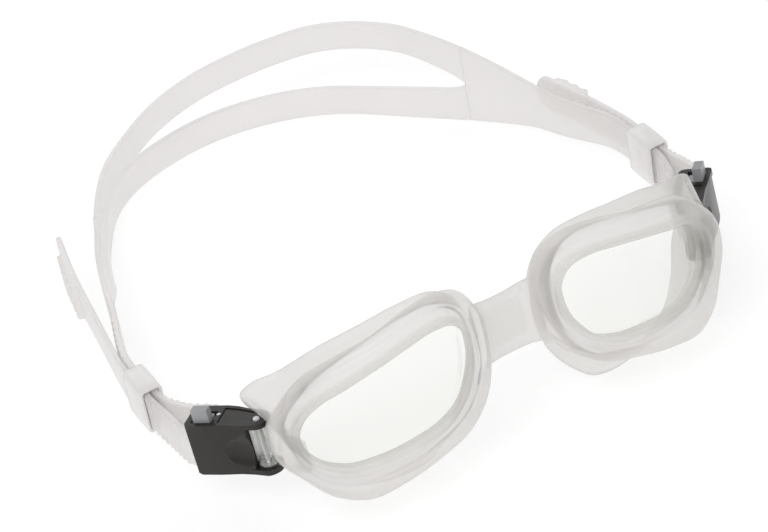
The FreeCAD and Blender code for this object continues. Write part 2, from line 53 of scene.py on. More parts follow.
PIN = Vector((72.5, -69.0, 26.4))
STRAP_MID = 19.1
STRAP_X = 86.3
TAIL_X = 88.7
SEAM_Y = -19.0

# lens-plane outlines, (towards the nose, up), from the nose side upwards
RIM = [(30, 8), (29.4, 17), (25.4, 24), (18, 27.3), (8, 26.3), (-3, 22.8), (-14, 19.8), (-24, 15.5),
       (-30.6, 8.7), (-35.6, 1), (-35.6, -6.3), (-30, -13.8), (-23.5, -20.5), (-15, -23.6),
       (-4, -21.7), (8, -18.3), (18.4, -14.6), (25.8, -7.8), (29.2, 0)]
WINDOW = [(23.5, 8), (23, 13.5), (20, 17.3), (14, 18.4), (6, 17), (-4, 14.2), (-14, 10.8),
          (-21.5, 7.8), (-26, 4), (-28, -1), (-27, -6), (-23.5, -10.6), (-17.5, -13.3),
          (-9, -13.4), (2, -12), (11, -10), (17.2, -6.5), (21, -1), (23, 4)]
# back edge of a cup: (distance from the middle, height), in the same order
FACE_EDGE = [(9.8, 38), (10.6, 47), (13, 54.5), (19, 60), (30, 61.3), (41, 59.4), (51, 56.2),
             (64, 48.9), (75, 42.6), (70.6, 33.2), (65, 24), (63.6, 14), (58, 3.0), (47, -3.4),
             (37, -5.8), (28, -2.9), (20.5, 6.5), (14.5, 17.5), (11, 28)]
LENS_BEND = 67.6
EYE_CENTRE = (40.0, -93.5, 36.8)
EYE_YAW = math.radians(8.4)
EYE_TILT = math.radians(11.3)
# the face that the cups press on, as a circle seen from the front: middle and radius
FACE_MIDDLE = (19.0, 20.3)
FACE_RADIUS = 100.2

STRAP_HALF_WIDE = 6.3
STRAP_HALF_THICK = 0.9
RIBBED_LENGTH = 31.0
KEEPER_X = 87.45
KEEPER_FRONT = -28.0


# ---------------------------------------------------------------- curves and meshes

def smooth_path(points, closed=False, per_span=8):
    """Points along a smooth curve through the given points, evenly shared between the spans."""
    p = np.array([tuple(q) for q in points], float)
    if closed:
        p = np.vstack([p[-1], p, p[:2]])
    else:
        p = np.vstack([2 * p[0] - p[1], p, 2 * p[-1] - p[-2]])
    gap = np.linalg.norm(np.diff(p, axis=0), axis=1)[:, None]
    speed = np.diff(p, axis=0) / gap
    slope = (speed[:-1] * gap[1:] + speed[1:] * gap[:-1]) / (gap[1:] + gap[:-1])
    result = []
    for i in range(len(slope) - 1):
        start, end, length = p[i + 1], p[i + 2], gap[i + 1]
        for k in range(per_span):
            f = k / per_span
            result.append((2 * f**3 - 3 * f**2 + 1) * start + (f**3 - 2 * f**2 + f) * length * slope[i]
                          + (3 * f**2 - 2 * f**3) * end + (f**3 - f**2) * length * slope[i + 1])
    if not closed:
        result.append(p[-2])
    return np.array(result)


def ease(value):
    """Smooth step from 0 to 1."""
    value = min(max(value, 0.0), 1.0)
    return value * value * (3 - 2 * value)


def add_grid(mesh, rows, wrap_rows=False, wrap_columns=True, caps=(False, False)):
    """Quads between rows of points; a row is one cross-section."""
    made = [[mesh.verts.new(Vector(point) * MM) for point in row] for row in rows]
    count = len(made[0])
    pairs = list(zip(made, made[1:]))
    if wrap_rows:
        pairs.append((made[-1], made[0]))
    for here, there in pairs:
        for k in range(count if wrap_columns else count - 1):
            after = (k + 1) % count
            mesh.faces.new((here[k], here[after], there[after], there[k]))
    if caps[0]:
        mesh.faces.new(made[0][::-1])
    if caps[1]:
        mesh.faces.new(made[-1])
    return made


def finish_mesh(name, mesh, smooth_angle=None):
    """Object from a bmesh, with outward normals and smooth shading."""
    bmesh.ops.recalc_face_normals(mesh, faces=mesh.faces)
    data = bpy.data.meshes.new(name)
    mesh.to_mesh(data)
    mesh.free()
    obj = bpy.data.objects.new(name, data)
    bpy.context.scene.collection.objects.link(obj)
    for face in data.polygons:
        face.use_smooth = True
    if smooth_angle is not None:
        data.set_sharp_from_angle(angle=math.radians(smooth_angle))
    return obj


def apply_modifiers(obj):
    """Bake the modifiers of an object into its mesh."""
    graph = bpy.context.evaluated_depsgraph_get()
    baked = bpy.data.meshes.new_from_object(obj.evaluated_get(graph))
    obj.modifiers.clear()
    obj.data = baked


def combine(target, others, operation):
    """Boolean the others into the target and delete them."""
    for other in others:
        step = target.modifiers.new("combine", "BOOLEAN")
        step.operation = operation
        step.solver = "EXACT"
        step.object = other
        apply_modifiers(target)
        bpy.data.objects.remove(other)


def soften(obj, width, segments=3, angle=30):
    """Round the sharp edges."""
    bevel = obj.modifiers.new("edges", "BEVEL")
    bevel.width = width * MM
    bevel.segments = segments
    bevel.limit_method = "ANGLE"
    bevel.angle_limit = math.radians(angle)
    bevel.use_clamp_overlap = True
    bevel.harden_normals = True
    for face in obj.data.polygons:
        face.use_smooth = True


def prism(name, outline, low, high):
    """Upright solid over an outline of (x, y) points."""
    mesh = bmesh.new()
    rows = [[(x, y, z) for x, y in outline] for z in (low, high)]
    add_grid(mesh, rows, caps=(True, True))
    return finish_mesh(name, mesh)


def rings(profile, steps):
    """One ring of points about Z for each (radius, height)."""
    rows = []
    for radius, height in profile:
        ring = []
        for k in range(steps):
            angle = 2 * math.pi * k / steps
            ring.append((radius * math.cos(angle), radius * math.sin(angle), height))
        rows.append(ring)
    return rows


def turned(name, profile, steps=40):
    """Solid turned about Z from (radius, height) points, with flat ends."""
    mesh = bmesh.new()
    add_grid(mesh, rings(profile, steps), caps=(True, True))
    return finish_mesh(name, mesh, smooth_angle=40)


def pin_profile(radius, half, chamfer=0.25):
    """Half-section of a pin with rounded ends, centred on its length."""
    return [(radius - 2 * chamfer, -half), (radius - chamfer * 0.7, -half + chamfer * 0.25),
            (radius, -half + chamfer), (radius, half - chamfer),
            (radius - chamfer * 0.7, half - chamfer * 0.25), (radius - 2 * chamfer, half)]


def arc(centre, radius, start, end, steps):
    """Points on a circle, angles in degrees."""
    result = []
    for k in range(steps + 1):
        angle = math.radians(start + (end - start) * k / steps)
        result.append((centre[0] + radius * math.cos(angle), centre[1] + radius * math.sin(angle)))
    return result


def attach(obj, body, slot, *nodes):
    """Tie a piece to its moving body and hide the CAD nodes that it stands for; the slot argument is not
    used.
    """
    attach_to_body(obj, body)
    if nodes:
        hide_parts(*nodes)
    return obj


# ---------------------------------------------------------------- local frames

def buckle_point(side, u, w, z=0.0):
    """Row-frame point from buckle coordinates: u rearwards, w outwards, z along the pin."""
    x = u * math.cos(SPLAY) + w * math.sin(SPLAY)
    y = u * math.sin(SPLAY) - w * math.cos(SPLAY)
    level = y * math.cos(LEAN) + z * math.sin(LEAN)
    rise = z * math.cos(LEAN) - y * math.sin(LEAN)
    return Vector((side * (PIN.x + x), PIN.y + level, PIN.z + rise))


def put_in_buckle(obj, side):
    """Move a mesh built in (u, w, z) millimetres into the row frame."""
    for vertex in obj.data.vertices:
        u, w, z = vertex.co / MM
        vertex.co = buckle_point(side, u, w, z) * MM
    mesh = bmesh.new()
    mesh.from_mesh(obj.data)
    bmesh.ops.recalc_face_normals(mesh, faces=mesh.faces)
    mesh.to_mesh(obj.data)
    mesh.free()
    return obj


def eye_axes(side):
    """Nose-ward, up and forward directions and the centre of a lens."""
    level = Vector((side * math.sin(EYE_YAW), -math.cos(EYE_YAW), 0))
    forward = level * math.cos(EYE_TILT) + Vector((0, 0, math.sin(EYE_TILT)))
    up = Vector((0, 0, math.cos(EYE_TILT))) - level * math.sin(EYE_TILT)
    nose = Vector((-side * math.cos(EYE_YAW), -math.sin(EYE_YAW), 0))
    x, y, z = EYE_CENTRE
    return nose, up, forward, Vector((side * x, y, z))


def eye_point(side, nose, up, depth):
    """Point on the bent lens surface moved forward by depth."""
    nose_axis, up_axis, forward_axis, centre = eye_axes(side)
    ahead = math.sqrt((LENS_BEND + depth) ** 2 - nose**2) - LENS_BEND
    return centre + nose_axis * nose + up_axis * up + forward_axis * ahead


# ---------------------------------------------------------------- materials

def new_material(name):
    """Empty node material with its output."""
    made = bpy.data.materials.new(name)
    made.use_nodes = True
    nodes = made.node_tree.nodes
    nodes.clear()
    output = nodes.new("ShaderNodeOutputMaterial")
    return made, nodes, made.node_tree.links, output


def noise(nodes, links, scale, detail=4.0):
    """Noise in object space."""
    where = nodes.new("ShaderNodeTexCoord")
    texture = nodes.new("ShaderNodeTexNoise")
    texture.inputs["Scale"].default_value = scale
    texture.inputs["Detail"].default_value = detail
    links.new(where.outputs["Object"], texture.inputs["Vector"])
    return texture


def ramp(nodes, links, source, low, high):
    """Map a 0 to 1 value onto low to high."""
    mapper = nodes.new("ShaderNodeMapRange")
    mapper.inputs["To Min"].default_value = low
    mapper.inputs["To Max"].default_value = high
    links.new(source, mapper.inputs["Value"])
    return mapper.outputs["Result"]


def bumps(nodes, links, height, strength, distance):
    """Bump normal from a height."""
    bump = nodes.new("ShaderNodeBump")
    bump.inputs["Strength"].default_value = strength
    bump.inputs["Distance"].default_value = distance
    links.new(height, bump.inputs["Height"])
    return bump.outputs["Normal"]


def clear_silicone(name, tint, milk, body, edge, rough, ripple):
    """Translucent silicone: see-through face on, milky towards its edges, with a wet gloss."""
    made, nodes, links, output = new_material(name)
    clear = nodes.new("ShaderNodeBsdfTransparent")
    clear.inputs["Color"].default_value = (*tint, 1)
    milky = nodes.new("ShaderNodeBsdfPrincipled")
    milky.inputs["Specular IOR Level"].default_value = 0.5
    milky.inputs["IOR"].default_value = 1.41
    cloud = noise(nodes, links, 90.0)
    shade = nodes.new("ShaderNodeMix")
    shade.data_type = "RGBA"
    shade.inputs["A"].default_value = (*milk, 1)
    shade.inputs["B"].default_value = (*[c * 0.95 for c in milk], 1)
    links.new(cloud.outputs["Fac"], shade.inputs["Factor"])
    links.new(shade.outputs["Result"], milky.inputs["Base Color"])
    links.new(ramp(nodes, links, cloud.outputs["Fac"], rough * 0.8, rough * 1.3), milky.inputs["Roughness"])
    wave = noise(nodes, links, 260.0, 2.0)
    normal = bumps(nodes, links, wave.outputs["Fac"], ripple, 0.0004)
    links.new(normal, milky.inputs["Normal"])
    facing = nodes.new("ShaderNodeLayerWeight")
    facing.inputs["Blend"].default_value = 0.35
    amount = ramp(nodes, links, facing.outputs["Facing"], body, edge)
    mixed = nodes.new("ShaderNodeMixShader")
    links.new(amount, mixed.inputs["Fac"])
    links.new(clear.outputs[0], mixed.inputs[1])
    links.new(milky.outputs[0], mixed.inputs[2])
    links.new(mixed.outputs[0], output.inputs["Surface"])
    return made


def clear_plastic(name, tint, gloss, body):
    """Hard clear plastic: tinted see-through with crisp reflections and a faint haze."""
    made, nodes, links, output = new_material(name)
    clear = nodes.new("ShaderNodeBsdfTransparent")
    clear.inputs["Color"].default_value = (*tint, 1)
    shine = nodes.new("ShaderNodeBsdfGlossy")
    shine.inputs["Color"].default_value = (0.95, 0.96, 0.96, 1)
    haze = noise(nodes, links, 40.0)
    links.new(ramp(nodes, links, haze.outputs["Fac"], 0.04, 0.1), shine.inputs["Roughness"])
    edge = nodes.new("ShaderNodeFresnel")
    edge.inputs["IOR"].default_value = 1.5
    amount = nodes.new("ShaderNodeMath")
    amount.operation = "MULTIPLY_ADD"
    amount.inputs[1].default_value = gloss
    amount.inputs[2].default_value = body
    links.new(edge.outputs[0], amount.inputs[0])
    mixed = nodes.new("ShaderNodeMixShader")
    links.new(amount.outputs[0], mixed.inputs["Fac"])
    links.new(clear.outputs[0], mixed.inputs[1])
    links.new(shine.outputs[0], mixed.inputs[2])
    links.new(mixed.outputs[0], output.inputs["Surface"])
    return made


def solid_plastic(name, colour, rough, grain, shine):
    """Opaque moulded plastic with fine grain and slightly uneven gloss."""
    made, nodes, links, output = new_material(name)
    shader = nodes.new("ShaderNodeBsdfPrincipled")
    shader.inputs["Specular IOR Level"].default_value = shine
    blotch = noise(nodes, links, 120.0)
    shade = nodes.new("ShaderNodeMix")
    shade.data_type = "RGBA"
    shade.inputs["A"].default_value = (*[c * 0.8 for c in colour], 1)
    shade.inputs["B"].default_value = (*[min(1.0, c * 1.25) for c in colour], 1)
    links.new(blotch.outputs["Fac"], shade.inputs["Factor"])
    links.new(shade.outputs["Result"], shader.inputs["Base Color"])
    uneven = ramp(nodes, links, blotch.outputs["Fac"], rough * 0.75, rough * 1.3)
    links.new(uneven, shader.inputs["Roughness"])
    speckle = noise(nodes, links, 2500.0, 2.0)
    links.new(bumps(nodes, links, speckle.outputs["Fac"], grain, 0.00006), shader.inputs["Normal"])
    links.new(shader.outputs[0], output.inputs["Surface"])
    return made


def steel(name):
    """Bright drawn steel."""
    made, nodes, links, output = new_material(name)
    shader = nodes.new("ShaderNodeBsdfPrincipled")
    shader.inputs["Base Color"].default_value = (0.62, 0.62, 0.63, 1)
    shader.inputs["Metallic"].default_value = 1.0
    scratch = noise(nodes, links, 900.0)
    links.new(ramp(nodes, links, scratch.outputs["Fac"], 0.18, 0.34), shader.inputs["Roughness"])
    links.new(bumps(nodes, links, scratch.outputs["Fac"], 0.2, 0.00005), shader.inputs["Normal"])
    links.new(shader.outputs[0], output.inputs["Surface"])
    return made


def wear(obj, material):
    """Give an object one material."""
    obj.data.materials.clear()
    obj.data.materials.append(material)


FRAME_SILICONE = clear_silicone("frame_silicone", tint=(0.985, 0.98, 0.978), milk=(0.8, 0.78, 0.757),
                                body=0.32, edge=0.78, rough=0.13, ripple=0.3)
STRAP_SILICONE = clear_silicone("strap_silicone", tint=(0.985, 0.98, 0.978), milk=(0.91, 0.89, 0.88),
                                body=0.52, edge=0.84, rough=0.3, ripple=0.14)
KEEPER_SILICONE = clear_silicone("keeper_silicone", tint=(0.995, 0.99, 0.99), milk=(0.98, 0.96, 0.955),
                                 body=0.66, edge=0.85, rough=0.25, ripple=0.15)
LENS_PLASTIC = clear_plastic("lens_plastic", (0.966, 0.968, 0.956), 0.25, 0.004)
CLEAR_PIN = clear_plastic("clear_pin", (0.94, 0.945, 0.94), 0.6, 0.06)
PIN_PLASTIC = solid_plastic("pin_plastic", (0.72, 0.73, 0.74), 0.3, 0.05, shine=0.5)
INSERT_PLASTIC = clear_plastic("insert_plastic", (0.985, 0.985, 0.98), 0.3, 0.02)
DARK_PLASTIC = solid_plastic("dark_plastic", (0.019, 0.017, 0.0155), 0.27, 0.1, shine=0.36)
GREY_PLASTIC = solid_plastic("grey_plastic", (0.32, 0.325, 0.335), 0.34, 0.08, shine=0.4)
STEEL = steel("steel")


# ---------------------------------------------------------------- eyepieces

def cup_wall(side, start, edge):
    """Where the straight wall from start through edge meets the face surface."""
    end = Vector((side * edge[0], -80.0 + (edge[0] - 12.0) * 0.242, edge[1]))
    run = end - start
    offset = Vector((start.x - side * FACE_MIDDLE[0], start.y - FACE_MIDDLE[1]))
    flat = Vector((run.x, run.y))
    a, b, c = flat.dot(flat), 2 * offset.dot(flat), offset.dot(offset) - FACE_RADIUS**2
    under_root = b * b - 4 * a * c
    share = 1.0 if under_root < 0 or a < 1e-6 else (-b - math.sqrt(under_root)) / (2 * a)
    if not 0.2 < share < 1.25:
        share = 1.0
    end = start + run * min(share, 1.0)
    if end.z < 0.0:
        end = start + (end - start) * (start.z / (start.z - end.z))
    return end


def eyepiece(word, side):
    """Soft cup with its thick front rim and the groove that holds the lens."""
    per_span = 9
    rim = smooth_path(RIM, True, per_span)
    window = smooth_path(WINDOW, True, per_span)
    face = smooth_path(FACE_EDGE, True, per_span)
    count = len(rim)
    nose_axis, up_axis, forward_axis, centre = eye_axes(side)
    roots, edges = [], []
    for k in range(count):
        nose, up = (rim[k] + window[k]) / 2
        root = centre + nose_axis * nose + up_axis * up - forward_axis * 2.0
        roots.append(root)
        edges.append(cup_wall(side, root, face[k]))
    middle = sum(edges, Vector()) / count
    rows = []
    for k in range(count):
        before, after = edges[k - 1], edges[(k + 1) % count]
        wall = (edges[k] - roots[k]).normalized()
        inward = wall.cross(after - before).normalized()
        if inward.dot(middle - edges[k]) < 0:
            inward = -inward
        run = rim[k] - window[k]
        width = float(np.linalg.norm(run))
        across = run / width

        def at(distance, depth):
            nose, up = window[k] + across * distance
            return eye_point(side, nose, up, depth)

        row = [at(0.0, -3.0), at(0.0, -1.0), at(0.25, -0.2), at(0.8, 0.55), at(1.5, 1.0), at(2.0, 1.0),
               at(2.5, 0.85), at(3.1, 1.15), at(0.5 * width, 1.85), at(0.72 * width, 2.15),
               at(width - 1.5, 2.0), at(width - 0.6, 1.5), at(width - 0.12, 0.7), at(width, -0.4),
               at(width, -3.6), at(width - 0.25, -4.7), at(width - 0.9, -5.3)]
        length = (edges[k] - roots[k]).length
        for distance in (0.0, 0.35, 0.7):
            row.append(roots[k] + wall * (4.6 + (length - 5.4) * distance))
        row += [edges[k] - wall * 0.6, edges[k] + inward * 0.25 - wall * 0.12, edges[k] + inward * 0.8,
                edges[k] + inward * 1.35 - wall * 0.15, edges[k] + inward * 1.6 - wall * 0.7]
        for distance in (0.75, 0.4, 0.1):
            row.append(roots[k] + wall * (4.6 + (length - 5.4) * distance) + inward * 1.7)
        row += [at(0.42 * width, -5.6), at(1.2, -5.3), at(0.3, -4.6)]
        rows.append(row)
    mesh = bmesh.new()
    add_grid(mesh, rows, wrap_rows=True)
    return finish_mesh("silicone_cup_" + word, mesh)


def nose_bridge():
    """Saddle between the two rims: its ends spread, thicken and come forward to run into them."""
    # distance from the middle to the rims' nose side, at each height
    edge_heights, edge_reach = (28.0, 35.4, 43.2, 52.1, 59.3), (13.9, 10.1, 9.0, 9.4, 13.4)
    mesh = bmesh.new()
    rows = []
    for share in np.linspace(-1, 1, 41):
        flare = abs(share) ** 3
        forward = 5.4 * abs(share) ** 4
        top = 47.9 + 3.9 * flare
        bottom = 29.6 - 0.6 * flare
        thick = 1.7 + 1.1 * flare
        row = []
        for along, out in ((0, 0), (0.03, 0.6), (0.1, 0.92), (0.3, 1), (0.5, 1), (0.7, 1), (0.9, 0.92),
                           (0.97, 0.6), (1, 0), (0.97, -0.6), (0.9, -0.92), (0.7, -1), (0.5, -1), (0.3, -1),
                           (0.1, -0.92), (0.03, -0.6)):
            height = bottom + (top - bottom) * along
            reach = float(np.interp(height, edge_heights, edge_reach)) + 1.1
            middle = -84.2 + 0.2 * (height - 29.6) - forward
            row.append((share * reach, middle - thick * out, height))
        rows.append(row)
    add_grid(mesh, rows, caps=(True, True))
    return finish_mesh("silicone_frame_visual", mesh)


def bridge_insert():
    """Clear stiffener plate inside the nose bridge."""
    plate = prism("bridge_stiffener", [(-6.5, -0.6), (6.5, -0.6), (6.5, 0.6), (-6.5, 0.6)], -5.5, 5.5)
    place = Matrix.Translation(Vector((0, -82.1, 39.0)) * MM)
    plate.data.transform(place @ Matrix.Rotation(math.radians(-11), 4, "X"))
    soften(plate, 0.4)
    return plate


def lens(word, side):
    """Bent clear lens with a rounded edge; the lug that holds the hinge pin is made by lens_lug."""
    outline = smooth_path(WINDOW, True, 6)
    tangent = np.roll(outline, -1, axis=0) - np.roll(outline, 1, axis=0)
    tangent /= np.linalg.norm(tangent, axis=1)[:, None]
    grown = outline + np.stack([tangent[:, 1], -tangent[:, 0]], axis=1) * 2.0
    middle = grown.mean(axis=0)
    mesh = bmesh.new()
    rows = []
    for scale, depth in ((0.02, -1), (0.3, -1), (0.6, -1), (0.85, -1), (0.985, -1), (0.998, -1.3), (1, -2),
                         (0.998, -2.7), (0.985, -3), (0.85, -3), (0.6, -3), (0.3, -3), (0.02, -3)):
        ring = middle + (grown - middle) * scale
        rows.append([eye_point(side, nose, up, depth) for nose, up in ring])
    add_grid(mesh, rows, caps=(True, True))
    return finish_mesh("lens_plate_" + word, mesh, smooth_angle=60)


def lens_lug(word, side):
    """Clear arm from the lens edge to the hinge barrel."""
    start = Vector((side * 67.0, -84.0, 28.6))
    end = buckle_point(side, 0, 0)
    upward = Vector((0, math.sin(LEAN), math.cos(LEAN)))
    along = (end - start).normalized()
    across = along.cross(upward).normalized()
    mesh = bmesh.new()
    rows = []
    for share in np.linspace(0, 1, 9):
        centre = start.lerp(end, float(share))
        half = 1.5 - 0.35 * math.sin(math.pi * share)
        tall = 5.0 + 0.9 * share
        row = []
        for out, rise in ((1, -0.8), (1, 0.8), (0.6, 1), (-0.6, 1),
                          (-1, 0.8), (-1, -0.8), (-0.6, -1), (0.6, -1)):
            row.append(centre + across * (half * out) + upward * (tall * rise))
        rows.append(row)
    add_grid(mesh, rows, caps=(True, True))
    return finish_mesh("lens_lug_" + word, mesh, smooth_angle=40)


def hinge_barrel(word, side):
    """Tube round the hinge pin, with a waist between its end collars."""
    profile = [(1.02, -6.6), (2.5, -6.6), (2.7, -6.4), (2.7, -4.9), (2.4, -4.5), (2.4, 4.5), (2.7, 4.9),
               (2.7, 6.4), (2.5, 6.6), (1.02, 6.6)]
    mesh = bmesh.new()
    add_grid(mesh, rings(profile, 40), wrap_rows=True)
    return put_in_buckle(finish_mesh("hinge_barrel_" + word, mesh, smooth_angle=35), side)


# ---------------------------------------------------------------- buckles

def plate_outline(outer=3.3):
    """Top or bottom plate of a housing: round ear at the hinge, wider towards the strap."""
    ear = arc((0, 0), 4.0, 100, 265, 14)
    return ear + [(4.0, -4.9), (7.5, -6.1), (11.0, -6.7), (19.6, -6.8), (20.9, -6.2), (21.3, -5.0),
                  (21.3, outer - 1.3), (20.9, outer - 0.35), (20.0, outer), (14.0, outer + 0.25),
                  (8.0, outer + 0.1), (4.0, outer + 0.5)]


def moved(obj, u, w, z, widths=(1, 1, 1)):
    """Scale a solid made about the origin and put it at its place in the buckle frame."""
    obj.data.transform(Matrix.Translation(Vector((u, w, z)) * MM) @ Matrix.Diagonal((*widths, 1)))
    return obj


def housing(word, side):
    """Dark buckle body: two plates joined by the outer panel, with a finger scoop by the hinge."""
    body = prism("buckle_housing_visual_" + word, plate_outline(), 6.9, 8.5)
    lower = prism("lower_plate", plate_outline(2.6), -8.5, -6.9)
    panel_face = [(2.6, 1.4), (21.2, 1.4), (21.2, 2.5), (18.0, 3.0), (12.0, 3.3), (6.5, 3.2), (3.0, 2.9)]
    panel = prism("panel", panel_face, -8.0, 7.6)
    combine(body, [lower, panel], "UNION")
    cutters = []
    for u, w, radius in ((0, 0, 1.35), (12.4, -2.6, 0.8)):
        cutters.append(moved(turned("hole", [(radius, -12), (radius, 12)], 32), u, w, 0))
    cutters.append(prism("notch", [(12.9, -3.8), (19.6, -3.8), (19.6, 1.9), (12.9, 1.9)], 6.0, 9.5))
    ball = [(0.02, -1.0)] + arc((0, 0), 1.0, -75, 75, 14) + [(0.02, 1.0)]
    cutters.append(moved(turned("scoop", ball, 48), 4.2, 5.15, -0.8, (7.6, 3.35, 6.3)))
    cutters.append(moved(turned("undercut", ball, 32), 14.0, 6.4, 6.1, (3.2, 3.2, 1.1)))
    tray = arc((0, 0), 2.7, 100, 265, 8) + [(7.5, -4.9), (11.4, -5.5), (11.4, 2.0), (7.0, 2.0)]
    cutters.append(prism("tray", tray, 8.15, 9.5))
    combine(body, cutters, "DIFFERENCE")
    soften(body, 0.42, 4, 32)
    return put_in_buckle(body, side)


def lever(word, side):
    """Grey push tab on its blade and pin boss."""
    blade = prism("release_lever_visual_" + word,
                  [(12.6, -4.0), (18.0, -3.2), (18.0, -1.1), (12.6, -1.2)], -6.5, 6.5)
    boss = moved(turned("boss", [(1.5, -6.6), (1.5, 6.6)], 32), 12.4, -2.6, 0)
    post = prism("post", [(13.8, -2.9), (17.6, -2.9), (17.6, 1.6), (13.8, 1.6)], 6.4, 8.4)
    tab = prism("tab", [(13.5, -0.9), (18.4, -0.9), (18.4, 1.85), (13.5, 1.85)], 8.2, 12.5)
    combine(blade, [boss, post, tab], "UNION")
    soften(blade, 0.55, 4, 40)
    return put_in_buckle(blade, side)


def pins(word, side):
    """Hinge pin, lever pin and strap bar."""
    made = []
    for name, u, w, radius, half in (("hinge_pin", 0, 0, 1.0, 8.6), ("lever_pin", 12.4, -2.6, 0.8, 8.5),
                                     ("strap_bar", 7.0, -2.6, 1.9, 7.7)):
        pin = turned("%s_visual_%s" % (name, word), pin_profile(radius, half))
        made.append(put_in_buckle(moved(pin, u, w, 0), side))
    return made


# ---------------------------------------------------------------- strap

def section(inner, outer, low, high, corner=0.5):
    """Rounded rectangle as (offset, height) points."""
    right, left = outer - corner, -inner + corner
    top, bottom = high - corner, low + corner
    points = []
    for k, centre in enumerate(((right, top), (left, top), (left, bottom), (right, bottom))):
        points += arc(centre, corner, 90 * k, 90 * (k + 1), 3)
    return points


def ribs(distance, pitch=2.9, high=0.4):
    """Height of the cross ribs at a distance along the strap."""
    phase = (distance / pitch) % 1.0
    return high * ease(min(phase, 0.5 - phase) / 0.12) if phase < 0.5 else 0.0


def resample(points, step):
    """Even steps along a polyline."""
    points = np.array([tuple(p) for p in points], float)
    length = np.concatenate([[0], np.cumsum(np.linalg.norm(np.diff(points, axis=0), axis=1))])
    count = max(2, int(length[-1] / step) + 1)
    where = np.linspace(0, length[-1], count)
    return np.stack([np.interp(where, length, points[:, i]) for i in range(points.shape[1])], axis=1), where


def band(mesh, path, limits, thickness, lean=None, rib=None, outward=1):
    """Closed band swept along a path. limits gives low and high, thickness gives inner and outer."""
    points, where = path
    ahead = np.gradient(points, axis=0)
    rows = []
    for k, (point, step) in enumerate(zip(points, ahead)):
        level = Vector((step[0], step[1], 0)).normalized()
        normal = Vector((level.y, -level.x, 0)) * outward
        low, high = limits(point, where[k])
        inner, outer = thickness(point, where[k])
        tilt = lean(point) if lean else 0.0
        upward = Vector((0, math.sin(tilt), math.cos(tilt)))
        if rib:
            outer += rib(where[k])
        row = []
        for offset, height in section(inner, outer, low, high):
            row.append(Vector((point[0], point[1], point[2])) + normal * offset + upward * height)
        rows.append(row)
    add_grid(mesh, rows, caps=(True, True))


def profile_of(rows):
    """Smooth low and high limits as a function of y."""
    dense = smooth_path(rows, False, 10)

    def limits(y):
        return tuple(float(np.interp(y, dense[:, 0], dense[:, column])) for column in (1, 2))

    return limits


# middle lines of the two rear bands as they lie, from the left round to the right
UPPER_BAND = [(-60.0, 60.0), (-54.5, 67.0), (-42.5, 77.5), (-27.6, 87.2), (-10.0, 93.2), (5.0, 94.6),
              (19.4, 93.8), (32.5, 90.9), (43.3, 84.1), (52.3, 74.0), (60.0, 60.5)]
LOWER_BAND = [(-64.3, 57.0), (-61.0, 66.0), (-54.8, 78.0), (-46.5, 89.0), (-36.5, 96.0), (-20.0, 101.3),
              (-4.0, 102.5), (10.6, 100.1), (23.2, 95.5), (34.6, 88.6), (44.6, 79.4), (54.0, 69.0),
              (61.0, 59.5)]
FORK_Y = 51.0


def strap_heights():
    """Low and high edges of the whole strap, and of the opening between its two rear bands."""
    edges = [(y, STRAP_MID - STRAP_HALF_WIDE, STRAP_MID + STRAP_HALF_WIDE) for y in (-45.0, -15.0, -5.0)]
    edges += [(10.0, 10.8, 24.8), (27.0, 8.2, 24.9), (41.0, 4.8, 27.8), (50.0, 3.0, 30.6), (59.0, 1.2, 33.4)]
    edges += [(y, 0.0, 34.8) for y in (70.0, 82.0, 94.0, 120.0)]
    opening = [(51.0, 17.1, 17.3), (54.0, 15.0, 19.5), (57.5, 13.6, 21.3), (63.0, 12.6, 23.2)]
    opening += [(70.0, 11.6, 24.4)] + [(y, 10.8, 24.7) for y in (80.0, 90.0, 130.0)]
    return profile_of(edges), profile_of(opening)


def rear_band(name, line, limits):
    """One of the two bands behind the head, starting inside the single band so that they join."""
    def thickness(point, where):
        half = 0.84 + 0.06 * ease((point[1] - FORK_Y) / 3.0)
        return half, half

    behind = np.flatnonzero(line[:, 1] > FORK_Y - 2.0)
    mesh = bmesh.new()
    band(mesh, resample(line[behind[0]: behind[-1] + 1], 1.5), limits, thickness, outward=-1)
    return finish_mesh(name, mesh)


def side_band(part, limits):
    """Single band from the keeper to the fork, ribbed over its first stretch."""
    def rib(distance):
        return ribs(distance) if distance < RIBBED_LENGTH else 0.0

    mesh = bmesh.new()
    outward = -1 if part[0][0] < 0 else 1
    band(mesh, resample(part, 0.6), lambda point, where: limits(point[1]),
         lambda point, where: (STRAP_HALF_THICK, STRAP_HALF_THICK), rib=rib, outward=outward)
    return finish_mesh("side_band", mesh)


def head_strap():
    """Single band at each side, splitting into an upper and a lower band behind the head."""
    front = [(-STRAP_X, y) for y in (SEAM_Y, -18.0, -10.0)]
    front += [(-85.1, -2.5), (-82.3, 6.0), (-79.2, 15.0), (-75.9, 28.0), (-71.8, 39.5), (-66.5, 50.0)]
    back = [(-x, y) for x, y in front[::-1]]
    whole, opening = strap_heights()
    upper, lower = (smooth_path([(x, y, 0.0) for x, y in front + middle + back], False, 12)
                    for middle in (UPPER_BAND, LOWER_BAND))

    def above_opening(point, where):
        return opening(point[1])[1], whole(point[1])[1]

    def below_opening(point, where):
        return whole(point[1])[0], opening(point[1])[0]

    pieces = [rear_band("upper_branch", upper, above_opening),
              rear_band("lower_branch", lower, below_opening)]
    behind = np.flatnonzero(lower[:, 1] > FORK_Y)
    pieces.append(side_band(lower[: behind[0] + 1], whole))
    strap = side_band(lower[behind[-1]:][::-1], whole)
    strap.name = "head_strap_band"
    combine(strap, pieces, "UNION")
    return strap


def buckle_lean(point):
    """Lean of the band: with the hinge pin near it, upright further back."""
    return LEAN * ease((-28.0 - point[1]) / 14.0)


